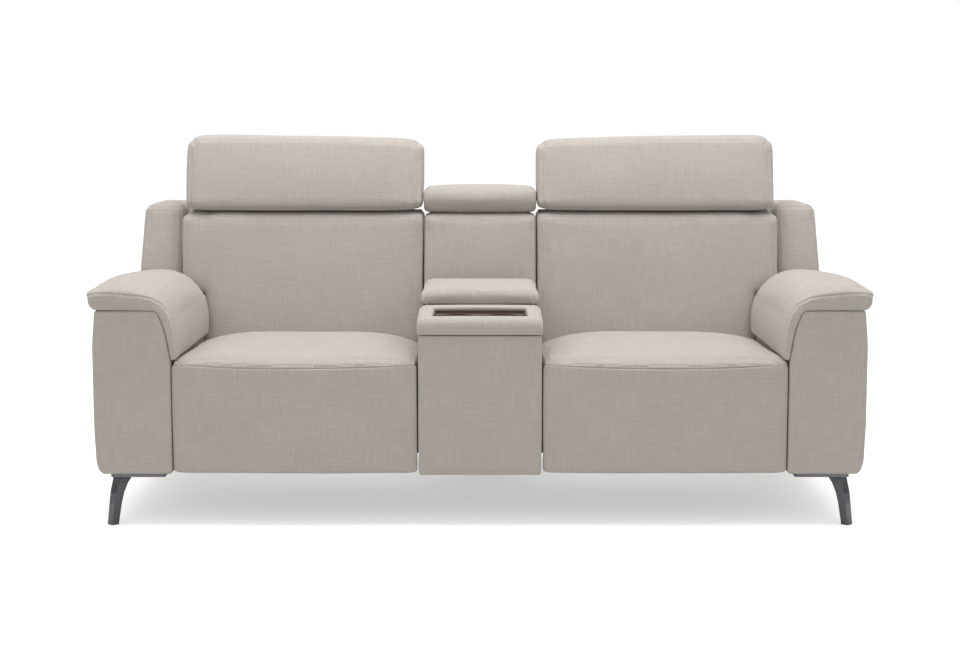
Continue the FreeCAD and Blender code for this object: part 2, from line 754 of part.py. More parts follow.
# Backs: a panel on two brackets that turn on the seat's side plates, a cushion with an
# ear over the arm, a padded shell behind it.
def back_frame():
    o0, o1 = back_thick + fabric_gap, back_thick + fabric_gap + back_panel
    wide = leaning(seat_inner + 8, ear_outer - 9, o0, o1, ear_bottom + 10, head_pivot_z - 8)
    narrow = leaning(seat_inner + 8, seat_outer - 8, o0, o1, back_bottom - 30, ear_bottom + 12)
    parts = [wide, narrow]
    y1 = back_line(back_bottom - 20) + o0 + 4
    for x0, x1 in layers(1.0, 6.0):
        arm = block(x0, x1, back_pivot_y, y1, back_bottom - 30, back_bottom - 4)
        parts.append(joined([arm, across(back_pivot_y, back_pivot_z, 13.0, x0, x1)]))
    for x0, x1 in layers(-side_plate - 3, 1.5):
        parts.append(across(back_pivot_y, back_pivot_z, hub_radius, x0, x1))
    lug_y = back_line(head_pivot_z) + o0 + 6
    for x in head_hinges:
        for x0 in (x - hinge_half - 0.5 - lug_wide, x + hinge_half + 0.5):
            lug = block(x0, x0 + lug_wide, head_pivot_y, lug_y + 10, head_pivot_z - hinge_radius,
                        head_pivot_z + hinge_radius)
            tip = across(head_pivot_y, head_pivot_z, hinge_radius, x0, x0 + lug_wide)
            parts.append(joined([lug, tip]))
        reach = hinge_half + 0.5 + lug_wide
        parts.append(across(head_pivot_y, head_pivot_z, hinge_pin, x - reach, x + reach))
    return joined(parts)


def back_cushion():
    box = (back_foot, back_foot + back_thick, back_bottom, back_top)
    main = pillow("x", seat_inner, arm_inner - 2, box, 20.0, (2, 0, 3, 7), 5.0,
                  rake, back_foot_height)
    ear_box = (back_foot + 5, back_foot + back_thick - 6, ear_bottom, back_top - 2)
    ear = pillow("x", seat_outer - 60, ear_outer, ear_box, 22.0, (2, 0, 2, 4), 5.0,
                 rake, back_foot_height)
    return joined([main, ear])


def back_shell():
    o0 = back_thick + back_panel + 2 * fabric_gap
    box = (back_foot + o0, back_foot + o0 + shell_thick, back_bottom - 60, back_top + 4)
    return pillow("x", seat_inner + 1, seat_outer - 4, box, 10.0, (1, 6, 1, 0), 3.0,
                  rake, back_foot_height)


save_pair("back_frame", back_frame())
save_pair("back_cushion", back_cushion())
save_pair("back_shell", back_shell())


# Headrests: each tilts back on two ratchet hinges at its lower rear edge.
def headrest_pad():
    box = (head_front, head_front + head_thick, head_bottom, head_top)
    return pillow("x", head_inner, head_outer, box, 26.0, (2, 0, 4, 7), 12.0,
                  head_rake, head_bottom, fall=head_fall)


def headrest_board():
    z0, z1 = head_bottom + 20, head_top - 40
    y0 = head_front + head_thick + 1.5

    def line(z):
        return y0 + head_rake * (z - head_bottom)

    board = side_shape([(line(z0), z0), (line(z0) + head_board, z0), (line(z1) + head_board, z1),
                        (line(z1), z1)], head_inner + 30, head_outer - 30)
    parts = [board]
    for x in head_hinges:
        tail = side_shape([(head_pivot_y - 6, head_pivot_z), (head_pivot_y + 6, head_pivot_z),
                           (line(z0 + 40) + 6, z0 + 40), (line(z0 + 40) + 1, z0 + 40),
                           (line(z0) + 1, z0 + 6)], x - hinge_half, x + hinge_half)
        parts += [tail, across(head_pivot_y, head_pivot_z, hinge_radius, x - hinge_half,
                               x + hinge_half)]
    shape = joined(parts)
    for x in head_hinges:
        shape = shape.cut(across(head_pivot_y, head_pivot_z, hinge_pin + pin_fit, x - 12, x + 12))
    return shape


save_pair("headrest_pad", headrest_pad())
save_pair("headrest_board", headrest_board())


# Console: a box with a storage bin under a hinged padded lid, a lower pad in front of it
# with an inset tray and two cup wells.
box_half = console_half - cover_thick
box_bottom = tube_top
box_front = console_front + 26.0


def stepped(x0, x1, y0, y1, z0):
    return side_shape([(y0, z0), (y1, z0), (y1, console_high), (console_step, console_high),
                       (console_step, console_low), (y0, console_low)], x0, x1)


def console_box():
    shape = stepped(-box_half, box_half, box_front, console_rear - 2, box_bottom)
    shape = shape.cut(block(-box_half + wall, box_half - wall, box_front + wall,
                            console_step - wall, box_bottom + wall, console_high + 1))
    shape = shape.cut(block(-box_half + wall, box_half - wall, console_step + wall,
                            console_rear - 2 - wall, bin_floor, console_high + 1))
    tail = block(-box_half, box_half, console_rear - 3, rear_tube + tube_deep, box_bottom,
                 box_bottom + wall)
    leaf = block(-box_half + 12, box_half - 12, console_rear - 12, lid_pivot_y, console_high - 18,
                 console_high - 15)
    knuckles = []
    for x in (-knuckle_out, knuckle_out):
        plate = block(x - 10, x + 10, console_rear - 4, lid_pivot_y + knuckle_radius,
                      console_high - 18, lid_pivot_z)
        knuckles.append(joined([plate, across(lid_pivot_y, lid_pivot_z, knuckle_radius, x - 10,
                                              x + 10)]))
        knuckles.append(across(lid_pivot_y, lid_pivot_z, lid_pin, x - 30, x + 30))
    shape = joined([shape, tail, leaf] + knuckles)
    return shape


button_places = (button_y - button_step / 2, button_y + button_step / 2)
button_bore = button_radius + 0.08


def console_cover():
    x0, x1 = box_half + fabric_gap, console_half
    side = stepped(x0, x1, box_front, console_rear, body_bottom - 1)
    side = side.cut(block(x0 - 1, x1 + 1, front_tube - 1, front_tube + tube_deep + 1, 100.0,
                          tube_top + 1))
    for y in button_places:
        side = side.cut(across(y, button_z, button_bore, x0 + 5, x1 + 1))
    return side


def switch_panel():
    panel = block(console_half, console_half + 2.2, button_y - 28, button_y + 28,
                  button_z - 15, button_z + 15)
    for y in button_places:
        panel = panel.cut(across(y, button_z, button_bore, console_half - 1,
                                 console_half + 4))
    return panel


def button(y):
    shape = across(y, button_z, button_radius, console_half - 8, console_half + 4)
    edge = max(shape.Edges, key=lambda e: e.BoundBox.XMin)
    return shape.makeFillet(1.0, [edge])


cover = console_cover()
save("console_box", console_box())
save("console_cover", Part.makeCompound([cover, mirrored(cover)]))
panel = switch_panel()
save("switch_panels", Part.makeCompound([panel, mirrored(panel)]))
save_pair("recline_button", button(button_places[0]))
save_pair("close_button", button(button_places[1]))

save("console_front_panel", pillow("z", body_bottom - 2, console_low - 3,
                                   (-console_half, console_half, console_front + 3,
                                    box_front - fabric_gap), 6.0, (2.5, 0, 0, 0), 2.0))


def console_pad(half, y0, y1, low, front_top, rear_top, nose, rear_nose):
    """A console pad: its front rolls over on a large radius, its top is lightly crowned."""
    wires = []
    for part in swell_stations:
        away = abs(2 * part - 1)
        inset = 9.0 * away ** 26
        x = -half + 2 * half * part
        top, back = front_top - inset + 1.5 * (1 - away ** 2), rear_top - inset + 1.5 * (1 - away ** 2)
        front, rear = y0 + 0.4 * inset, y1 - 0.2 * inset
        d, e = nose * (1 - math.sqrt(0.5)), rear_nose * (1 - math.sqrt(0.5))
        wires.append(Part.Wire([
            Part.makeLine(V(x, rear, low), V(x, front + 3, low)),
            Part.Arc(V(x, front + 3, low), V(x, front + 0.9, low + 0.9), V(x, front, low + 3)).toShape(),
            Part.makeLine(V(x, front, low + 3), V(x, front, top - nose)),
            Part.Arc(V(x, front, top - nose), V(x, front + d, top - d),
                     V(x, front + nose, top)).toShape(),
            Part.makeLine(V(x, front + nose, top), V(x, rear - rear_nose, back)),
            Part.Arc(V(x, rear - rear_nose, back), V(x, rear - e, back - e),
                     V(x, rear, back - rear_nose)).toShape(),
            Part.makeLine(V(x, rear, back - rear_nose), V(x, rear, low))]))
    return Part.makeLoft(wires, True, True)


tray_top = front_pad_top + 7.0
tray_floor = tray_top - 8.0
cup_y = (tray_front + tray_back) / 2
cup_x = tray_half / 2 - 1.0


def tray_body(grow, top):
    body = block(-tray_half - grow, tray_half + grow, tray_front - grow, tray_back + grow,
                 tray_floor - 4 - grow, top)
    wells = [rod(V(s * cup_x, cup_y, tray_floor - cup_depth - 3 - grow), V(0, 0, 1),
                 cup_radius + 3 + grow, cup_depth) for s in (-1, 1)]
    return joined([body] + wells)


def cup_tray():
    body = tray_body(0.0, tray_top)
    body = body.cut(block(-tray_half + tray_wall, tray_half - tray_wall, tray_front + tray_wall,
                          tray_back - tray_wall, tray_floor, tray_top + 5))
    for s in (-1, 1):
        body = body.cut(rod(V(s * cup_x, cup_y, tray_floor - cup_depth), V(0, 0, 1),
                            cup_radius, cup_depth + 20))
    return body


front_pad = console_pad(console_half + 2.5, console_front, console_step - 0.5,
                        console_low + fabric_gap, front_pad_top + 2, front_pad_top + 16, 22.0, 6.0)
save("console_front_pad", front_pad.cut(tray_body(fabric_gap, front_pad_top + 60)))
save("cup_tray", cup_tray())


def lid_board():
    z0 = lid_pivot_z - 4
    board = block(-console_half + 6, console_half - 6, lid_front + 3, console_rear - 4, z0,
                  z0 + lid_board_thick)
    parts = [board]
    for x0 in (-knuckle_out + 10.5, knuckle_out - 40.0):
        reach = block(x0, x0 + 29.5, console_rear - 6, lid_pivot_y, lid_pivot_z - 1,
                      z0 + lid_board_thick)
        knuckle = across(lid_pivot_y, lid_pivot_z, knuckle_radius, x0, x0 + 29.5)
        parts.append(joined([reach, knuckle]))
    shape = joined(parts)
    for x in (-knuckle_out, knuckle_out):
        shape = shape.cut(across(lid_pivot_y, lid_pivot_z, lid_pin + pin_fit, x - 31, x + 31))
        shape = shape.cut(block(x - 10.3, x + 10.3, console_rear - 5, lid_pivot_y + 5, z0 - 1,
                                lid_pivot_z + 5))
    return shape


lid_low = lid_pivot_z - 4 + lid_board_thick + fabric_gap
save("lid_board", lid_board())
save("lid_pad", console_pad(console_half, lid_front, console_rear, lid_low,
                            lid_low + lid_pad_thick - 3, lid_low + lid_pad_thick - 1, 24.0, 10.0))

centre_half = console_half + centre_spread
centre_offset = back_thick + fabric_gap
save("centre_back_frame", leaning(-box_half, box_half, centre_offset, centre_offset + back_panel,
                                  box_bottom + wall, back_top + 40))
save("centre_back_pad", pillow("x", -centre_half, centre_half,
                               (back_foot, back_foot + back_thick, console_low + 6, back_top),
                               18.0, (2, 0, 2, 4), 4.0, rake, back_foot_height))
roll_front = back_line(back_top) + 2
roll_bottom = back_top + 2.6
save("centre_roll", pillow("x", -centre_half, centre_half,
                           (roll_front, roll_front + roll_deep, roll_bottom,
                            roll_bottom + roll_high), 34.0, (0, 1, 3, 2), 8.0))
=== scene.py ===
import math

import bpy
import bmesh
import numpy as np
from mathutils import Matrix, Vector, noise
from mathutils.bvhtree import BVHTree


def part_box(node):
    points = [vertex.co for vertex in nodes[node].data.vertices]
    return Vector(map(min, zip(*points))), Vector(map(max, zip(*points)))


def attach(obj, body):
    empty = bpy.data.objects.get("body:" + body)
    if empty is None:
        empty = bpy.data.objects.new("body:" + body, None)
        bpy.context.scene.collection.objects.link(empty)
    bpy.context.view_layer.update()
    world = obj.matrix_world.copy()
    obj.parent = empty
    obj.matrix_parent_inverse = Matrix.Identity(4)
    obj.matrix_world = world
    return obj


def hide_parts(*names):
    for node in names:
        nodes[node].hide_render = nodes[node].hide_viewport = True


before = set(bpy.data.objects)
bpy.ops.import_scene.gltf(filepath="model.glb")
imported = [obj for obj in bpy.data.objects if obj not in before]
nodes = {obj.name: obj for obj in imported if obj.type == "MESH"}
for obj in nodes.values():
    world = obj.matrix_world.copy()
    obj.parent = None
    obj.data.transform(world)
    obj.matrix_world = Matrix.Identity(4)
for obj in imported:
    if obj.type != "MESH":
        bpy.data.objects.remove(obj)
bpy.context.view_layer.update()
sides = (("right", 1), ("left", -1))
print("frame loaded")


# Materials
def newMaterial(name):
    mat = bpy.data.materials.new(name)
    mat.use_nodes = True
    return mat, mat.node_tree.nodes, mat.node_tree.links, mat.node_tree.nodes["Principled BSDF"]


def mapped(tree, links, source, scale, turn=0.0):
    mapping = tree.new("ShaderNodeMapping")
    mapping.inputs["Scale"].default_value = scale
    mapping.inputs["Rotation"].default_value = (0, 0, turn)
    links.new(source, mapping.inputs["Vector"])
    return mapping.outputs["Vector"]


def noiseAt(tree, links, vector, scale=1.0, detail=2.0, rough=0.5):
    tex = tree.new("ShaderNodeTexNoise")
    tex.inputs["Scale"].default_value = scale
    tex.inputs["Detail"].default_value = detail
    tex.inputs["Roughness"].default_value = rough
    links.new(vector, tex.inputs["Vector"])
    return tex.outputs["Fac"]


def maths(tree, links, kind, a, b):
    node = tree.new("ShaderNodeMath")
    node.operation = kind
    for socket, value in zip(node.inputs, (a, b)):
        if isinstance(value, (int, float)):
            socket.default_value = value
        else:
            links.new(value, socket)
    return node.outputs[0]


def spread(tree, links, value, low, high, fromLow=0.3, fromHigh=0.7):
    node = tree.new("ShaderNodeMapRange")
    for name, number in (("From Min", fromLow), ("From Max", fromHigh),
                         ("To Min", low), ("To Max", high)):
        node.inputs[name].default_value = number
    links.new(value, node.inputs["Value"])
    return node.outputs["Result"]


def tinted(tree, links, colour, factor):
    mix = tree.new("ShaderNodeMix")
    mix.data_type = "RGBA"
    mix.blend_type = "MULTIPLY"
    mix.inputs[0].default_value = 1.0
    mix.inputs[6].default_value = (*colour, 1)
    links.new(factor, mix.inputs[7])
    return mix.outputs[2]


def bumped(tree, links, bsdf, height, strength, distance):
    bump = tree.new("ShaderNodeBump")
    bump.inputs["Strength"].default_value = strength
    bump.inputs["Distance"].default_value = distance
    links.new(height, bump.inputs["Height"])
    links.new(bump.outputs["Normal"], bsdf.inputs["Normal"])


def srgb(r, g, b):
    return tuple(((c / 255 + 0.055) / 1.055) ** 2.4 if c > 10 else c / 3294.6 for c in (r, g, b))


fabricSet = {"colour": (178, 171, 164), "slub": 0.06, "fine": 0.04, "cloud": 0.02,
             "thread": 0.0019, "sheen": 0.12}


# Two lengths along the cloth, in metres, picked by the way the surface faces.
def weavePlane(tree, links):
    coord = tree.new("ShaderNodeTexCoord")
    place = tree.new("ShaderNodeSeparateXYZ")
    facing = tree.new("ShaderNodeSeparateXYZ")
    links.new(coord.outputs["Object"], place.inputs[0])
    links.new(coord.outputs["Normal"], facing.inputs[0])
    isSide = maths(tree, links, "GREATER_THAN",
                   maths(tree, links, "ABSOLUTE", facing.outputs["X"], 0), 0.74)
    isTop = maths(tree, links, "GREATER_THAN",
                  maths(tree, links, "ABSOLUTE", facing.outputs["Z"], 0), 0.74)
    x, y, z = place.outputs["X"], place.outputs["Y"], place.outputs["Z"]
    u = maths(tree, links, "ADD", x, maths(tree, links, "MULTIPLY", isSide,
                                           maths(tree, links, "SUBTRACT", y, x)))
    v = maths(tree, links, "ADD", z, maths(tree, links, "MULTIPLY", isTop,
                                           maths(tree, links, "SUBTRACT", y, z)))
    both = tree.new("ShaderNodeCombineXYZ")
    links.new(u, both.inputs["X"])
    links.new(v, both.inputs["Y"])
    return both.outputs[0]


# Linen-look weave: long slubs both ways over a fine basket of threads.
def fabricMaterial(name, colour):
    mat, tree, links, bsdf = newMaterial(name)
    at = weavePlane(tree, links)
    across = noiseAt(tree, links, mapped(tree, links, at, (17, 250, 1)), 1.0, 3.0, 0.6)
    along = noiseAt(tree, links, mapped(tree, links, at, (230, 14, 1)), 1.0, 3.0, 0.6)
    broad = noiseAt(tree, links, mapped(tree, links, at, (6, 6, 1)), 1.0, 2.0)
    speck = noiseAt(tree, links, mapped(tree, links, at, (420, 420, 1)), 1.0, 1.0)
    s, f, c = fabricSet["slub"], fabricSet["fine"], fabricSet["cloud"]
    slubs = maths(tree, links, "MULTIPLY", spread(tree, links, across, 1 - s, 1 + s),
                  spread(tree, links, along, 1 - s, 1 + s))
    patches = maths(tree, links, "MULTIPLY", spread(tree, links, broad, 1 - c, 1 + c),
                    spread(tree, links, speck, 1 - f, 1 + f))
    factor = maths(tree, links, "MULTIPLY", slubs, patches)
    links.new(tinted(tree, links, srgb(*colour), factor), bsdf.inputs["Base Color"])
    waves = []
    for kind in ("X", "Y"):
        wave = tree.new("ShaderNodeTexWave")
        wave.bands_direction = kind
        wave.inputs["Scale"].default_value = 1.0
        wave.inputs["Distortion"].default_value = 1.2
        wave.inputs["Detail"].default_value = 1.0
        scale = 0.314 / fabricSet["thread"]
        links.new(mapped(tree, links, at, (scale, scale, 1)), wave.inputs["Vector"])
        waves.append(wave.outputs["Fac"])
    threads = maths(tree, links, "MULTIPLY",
                    maths(tree, links, "MAXIMUM", waves[0], waves[1]), 0.5)
    height = maths(tree, links, "ADD", threads, maths(tree, links, "ADD", across, along))
    bumped(tree, links, bsdf, height, 0.35, 0.0006)
    links.new(spread(tree, links, speck, 0.9, 1.0), bsdf.inputs["Roughness"])
    bsdf.inputs["Specular IOR Level"].default_value = 0.15
    bsdf.inputs["Sheen Weight"].default_value = fabricSet["sheen"]
    bsdf.inputs["Sheen Roughness"].default_value = 0.6
    return mat


def metalMaterial(name, colour, rough, streak, scale=(6, 6, 6), metallic=1.0, bump=0.05):
    mat, tree, links, bsdf = newMaterial(name)
    coord = tree.new("ShaderNodeTexCoord")
    at = coord.outputs["Object"]
    grain = noiseAt(tree, links, mapped(tree, links, at, scale), 40.0, 4.0, 0.6)
    patch = noiseAt(tree, links, mapped(tree, links, at, (9, 9, 9)), 1.0, 2.0)
    links.new(tinted(tree, links, srgb(*colour), spread(tree, links, patch, 0.9, 1.06)),
              bsdf.inputs["Base Color"])
    links.new(spread(tree, links, grain, rough * (1 - streak), rough * (1 + streak)),
              bsdf.inputs["Roughness"])
    bsdf.inputs["Metallic"].default_value = metallic
    bumped(tree, links, bsdf, grain, bump, 0.0004)
    return mat


def plasticMaterial(name, colour, rough, bump=0.12):
    mat, tree, links, bsdf = newMaterial(name)
    coord = tree.new("ShaderNodeTexCoord")
    at = coord.outputs["Object"]
    grain = noiseAt(tree, links, at, 900.0, 2.0)
    patch = noiseAt(tree, links, at, 14.0, 2.0)
    links.new(tinted(tree, links, srgb(*colour), spread(tree, links, patch, 0.93, 1.07)),
              bsdf.inputs["Base Color"])
    links.new(spread(tree, links, grain, rough * 0.85, rough * 1.1), bsdf.inputs["Roughness"])
    bumped(tree, links, bsdf, grain, bump, 0.0003)
    return mat


def plywoodMaterial(name):
    mat, tree, links, bsdf = newMaterial(name)
    coord = tree.new("ShaderNodeTexCoord")
    at = coord.outputs["Object"]
    grain = noiseAt(tree, links, mapped(tree, links, at, (3, 70, 70)), 1.0, 6.0, 0.65)
    patch = noiseAt(tree, links, mapped(tree, links, at, (4, 4, 4)), 1.0, 2.0)
    tone = maths(tree, links, "MULTIPLY", spread(tree, links, grain, 0.78, 1.1),
                 spread(tree, links, patch, 0.92, 1.06))
    # Base tone darker than bare birch: painted shade, so the frame edge seen in the gap under the
    # headrest reads as shadow; grain and patches are the wood's own
    links.new(tinted(tree, links, srgb(120, 102, 82), tone), bsdf.inputs["Base Color"])
    bsdf.inputs["Roughness"].default_value = 0.7
    bumped(tree, links, bsdf, grain, 0.2, 0.0006)
    return mat


fabric = fabricMaterial("wovenFabric", fabricSet["colour"])
# Thread lighter than the cloth: partly the thread's own tone, partly a painted highlight for the
# light line along the seams
thread = plasticMaterial("sewingThread", (226, 220, 212), 0.75)
legMetal = metalMaterial("legMetal", (112, 111, 114), 0.12, 0.2, (2, 2, 12), bump=0.01)
zincSteel = metalMaterial("zincSteel", (176, 178, 180), 0.34, 0.3, (10, 3, 3))
blackSteel = metalMaterial("blackSteel", (34, 35, 37), 0.45, 0.2, metallic=0.0, bump=0.1)
plywood = plywoodMaterial("plywood")
trayPlastic = plasticMaterial("trayPlastic", (92, 75, 73), 0.5)
blackPlastic = plasticMaterial("blackPlastic", (27, 27, 29), 0.5)
buttonPlastic = plasticMaterial("buttonPlastic", (62, 62, 66), 0.3, 0.03)
print("materials made")


# Soft pieces
def meshObject(name, data):
    obj = bpy.data.objects.new(name, data)
    bpy.context.scene.collection.objects.link(obj)
    return obj


# Adds modifiers given as (kind, settings) and applies them to the mesh.
def baked(obj, *modifiers):
    for kind, values in modifiers:
        mod = obj.modifiers.new(kind, kind)
        for key, value in values.items():
            setattr(mod, key, value)
    graph = bpy.context.evaluated_depsgraph_get()
    fresh = bpy.data.meshes.new_from_object(obj.evaluated_get(graph))
    obj.modifiers.clear()
    obj.data = fresh
    return obj


def read(data, what="vertices", key="co"):
    items = getattr(data, what)
    values = np.empty(len(items) * 3, dtype=np.float32)
    items.foreach_get(key, values)
    return values.reshape(-1, 3)


def normalsOf(obj):
    return read(obj.data, "vertex_normals", "vector")


def moved(obj, co):
    obj.data.vertices.foreach_set("co", co.astype(np.float32).ravel())
    obj.data.update()


def treeOf(data):
    return BVHTree.FromPolygons([v.co for v in data.vertices],
                                [list(p.vertices) for p in data.polygons])


# One search tree of every other solid whose box comes near a node's box.
def treeAround(node, reach=0.05):
    low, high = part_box(node)
    points, faces = [], []
    for other, obj in nodes.items():
        if other == node:
            continue
        a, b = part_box(other)
        if any(a[k] > high[k] + reach or b[k] < low[k] - reach for k in range(3)):
            continue
        start = len(points)
        points += [v.co.copy() for v in obj.data.vertices]
        faces += [[start + i for i in p.vertices] for p in obj.data.polygons]
    return BVHTree.FromPolygons(points, faces)


# Distance from every point to the nearest neighbour, in metres.
def roomAround(obj, tree):
    out = np.full(len(obj.data.vertices), 0.05, dtype=np.float32)
    for k, vert in enumerate(obj.data.vertices):
        hit = tree.find_nearest(vert.co, 0.05)
        if hit[0] is not None:
            out[k] = hit[3]
    return out


# Blows a copy up as cloth and gives back how far each point moved.
def inflated(obj, pressure, frames=14):
    if not pressure:
        return np.zeros((len(obj.data.vertices), 3), dtype=np.float32)
    copy = meshObject("pressTest", obj.data.copy())
    cloth = copy.modifiers.new("cloth", "CLOTH")
    cloth.settings.quality = 4
    cloth.settings.mass = 0.3
    cloth.settings.use_pressure = True
    cloth.settings.uniform_pressure_force = pressure
    cloth.settings.effector_weights.gravity = 0
    cloth.settings.tension_stiffness = 15
    cloth.settings.compression_stiffness = 15
    cloth.settings.bending_stiffness = 1.5
    cloth.point_cache.frame_start = 1
    cloth.point_cache.frame_end = frames
    for frameNumber in range(1, frames + 1):
        bpy.context.scene.frame_set(frameNumber)
    graph = bpy.context.evaluated_depsgraph_get()
    fresh = bpy.data.meshes.new_from_object(copy.evaluated_get(graph))
    gap = read(fresh) - read(obj.data)
    bpy.data.objects.remove(copy)
    bpy.data.meshes.remove(fresh)
    bpy.context.scene.frame_set(1)
    return gap


# Shortens each move to its own limit.
def capped(move, limit):
    length = np.linalg.norm(move, axis=1)
    keep = np.minimum(1.0, limit / np.maximum(length, 1e-9))
    return move * keep[:, None]


# A fine, even copy of a solid's skin, eased and drawn part of the way back.
def grown(node, values):
    solid = nodes[node].data
    obj = meshObject("skinTest", solid.copy())
    baked(obj, ("REMESH", {"mode": "VOXEL", "voxel_size": values["voxel"]}),
          ("SMOOTH", {"factor": 0.5, "iterations": values["ease"]}))
    near = treeOf(solid)
    co = read(obj.data)
    back = np.array([near.find_nearest(Vector(row))[0] for row in co], dtype=np.float32)
    moved(obj, co + (back - co) * values.get("crisp", 0.5))
    return obj


# Closed rings joined into a skin, with drawn-in rings over both ends.
def lofted(rings):
    def shrunk(ring):
        middle = sum(ring, Vector()) / len(ring)
        return [[middle + (p - middle) * k for p in ring] for k in (0.1, 0.35, 0.6, 0.8, 0.93)]

    rows = shrunk(rings[0]) + rings + shrunk(rings[-1])[::-1]
    count = len(rings[0])
    points = [p for row in rows for p in row]
    last = len(points) - count
    faces = [[at + k, at + k + 1, at + count - 2 - k, at + count - 1 - k]
             for at in (0, last) for k in range(count // 2 - 1)]
    for k in range(len(rows) - 1):
        a, b = k * count, (k + 1) * count
        for i in range(count):
            j = (i + 1) % count
            faces.append([a + i, a + j, b + j, b + i])
    data = bpy.data.meshes.new("loft")
    data.from_pydata(points, [], faces)
    mesh = bmesh.new()
    mesh.from_mesh(data)
    bmesh.ops.recalc_face_normals(mesh, faces=mesh.faces)
    mesh.to_mesh(data)
    mesh.free()
    return meshObject("skinTest", data)


# The closed line through the points as count even steps, corners kept soft.
def ringOf(points, count):
    closed = points + points[:1]
    lengths = [(b - a).length for a, b in zip(closed, closed[1:])]
    total, out, k, done = sum(lengths), [], 0, 0.0
    for i in range(count):
        want = total * i / count
        while done + lengths[k] < want:
            done += lengths[k]
            k += 1
        out.append(closed[k].lerp(closed[k + 1], (want - done) / max(lengths[k], 1e-9)))
    return out


# Points on the curve that leaves a, passes m and ends at b.
def bend(a, m, b, count=8):
    top = m * 2 - (a + b) / 2
    return [a * (1 - t) ** 2 + top * 2 * t * (1 - t) + b * t * t
            for t in (k / count for k in range(count + 1))]


# Two swelling neighbours may each take less than half of the gap between them.
roomShare = 0.44


# A padded piece: its skin is blown up, filled out into its gaps and smoothed.
def softPiece(name, node, values, skin=None):
    obj = skin or grown(node, values)
    obj.name = obj.data.name = name
    obj.data.materials.clear()
    room = roomAround(obj, treeAround(node))
    swell = capped(inflated(obj, values.get("pressure", 0)), values.get("cap", 0.006))
    swell += normalsOf(obj) * values.get("fill", 0.002)
    moved(obj, read(obj.data) + capped(swell, roomShare * room))
    baked(obj, ("SMOOTH", {"factor": 0.5, "iterations": values.get("settle", 1)}),
          ("SUBSURF", {"levels": 1, "render_levels": 1}))
    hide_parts(node)
    return obj


topCorners = [(1, 1), (-1, 1)]


# Rounds the front outline further: each corner, already rounded a little, is drawn onto a
# circle of its own radius.
def roundCorners(obj, node, corners, radius, was):
    low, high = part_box(node)
    co = read(obj.data)
    for dx, dz in corners:
        cx = (high[0] if dx > 0 else low[0]) - dx * radius
        cz = (high[2] if dz > 0 else low[2]) - dz * radius
        nearX = np.abs(co[:, 0] - cx) < 0.005
        nearZ = np.abs(co[:, 2] - cz) < 0.005
        cz = dz * ((dz * co[nearX, 2]).max() - radius)
        cx = dx * ((dx * co[nearZ, 0]).max() - radius)
        u, w = (co[:, 0] - cx) * dx, (co[:, 2] - cz) * dz
        inside = (u > 0) & (w > 0)
        length = np.maximum(np.sqrt(u ** 2 + w ** 2), 1e-9)
        c, s = u / length, w / length
        k = radius - was
        edge = radius / np.maximum(np.maximum(c, s), 0.5)
        inner = k * (c + s)
        arc = inner + np.sqrt(np.maximum(inner ** 2 - 2 * k * k + was * was, 0))
        edge = np.where((arc * c > k) & (arc * s > k), arc, edge)
        keep = np.where(inside, radius / edge, 1.0)
        co[:, 0] = np.where(inside, cx + dx * u * keep, co[:, 0])
        co[:, 2] = np.where(inside, cz + dz * w * keep, co[:, 2])
    moved(obj, co)


# Broad, faint unevenness of padding under taut cloth.
def ripple(obj, size, strength, seed=0.0):
    co = read(obj.data)
    push = np.fromiter((noise.noise(Vector(row)) for row in co / size + seed),
                       dtype=np.float32, count=len(co))
    moved(obj, co + normalsOf(obj) * (push * strength)[:, None])


# The same line with a point every step metres.
def evenly(points, step=0.003):
    points = [Vector(p) for p in points]
    out, left = [points[0]], step
    for a, b in zip(points, points[1:]):
        length = (b - a).length
        done = 0.0
        while length - done >= left and length > 0:
            done += left
            out.append(a.lerp(b, done / length))
            left = step
        left -= length - done
    return out


# Points thrown onto a piece along a direction; misses are left out.
def onSurface(obj, points, direction, reach=0.25):
    tree = treeOf(obj.data)
    way = Vector(direction).normalized()
    out = []
    for p in points:
        hit, normal, _, _ = tree.ray_cast(Vector(p) - way * reach, way, reach * 2)
        if hit is not None:
            out.append((hit, normal))
    return out


# The nearest places on a piece to a line of points.
def nearSurface(obj, points):
    tree = treeOf(obj.data)
    return [tree.find_nearest(Vector(p))[:2] for p in points]


sideSeamSet = {"off": 0.01, "foot": 0.006, "sew": (0.0026, 0.0015, 0.0008)}


# Sewn lines near both ends of a pad, up its front and over its top.
def sideSeams(obj, node, inset):
    off = sideSeamSet["off"]
    low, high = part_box(node)
    for x in (low[0] + inset, high[0] - inset):
        line = evenly([(x, low[1] - off, low[2] + sideSeamSet["foot"]),
                       (x, low[1] - off, high[2] + off), (x, high[1] - off, high[2] + off)])
        groove(obj, nearSurface(obj, line), *sideSeamSet["sew"])


# Raises a piece's edge, growing from one height to the other.
def lifted(obj, fromHeight, toHeight, rise):
    co = read(obj.data)
    part = np.clip((co[:, 2] - fromHeight) / (toHeight - fromHeight), 0, 1)
    co[:, 2] += rise * part * part * (3 - 2 * part)
    moved(obj, co)


# Distance of every point to a line of points, far ones left at 1 m.
def gapTo(co, path):
    path = np.asarray([tuple(p) for p in path], dtype=np.float32)
    best = np.full(len(co), 1.0, dtype=np.float32)
    low, high = path.min(axis=0) - 0.02, path.max(axis=0) + 0.02
    near = np.flatnonzero(np.all((co > low) & (co < high), axis=1))
    for start in range(0, len(near), 3000):
        idx = near[start:start + 3000]
        gap = np.linalg.norm(co[idx][:, None, :] - path[None, :, :], axis=2)
        best[idx] = gap.min(axis=1)
    return best


# Draws the cloth in along a sewn line, with a soft swell at both sides.
def groove(obj, hits, width=0.0032, depth=0.0018, lip=0.0006):
    if len(hits) < 2:
        return
    co = read(obj.data)
    gap = gapTo(co, [h[0] for h in hits])
    push = lip * np.exp(-((gap - 2.4 * width) / width) ** 2)
    push -= depth * np.exp(-(gap / width) ** 2)
    moved(obj, co + normalsOf(obj) * push[:, None])


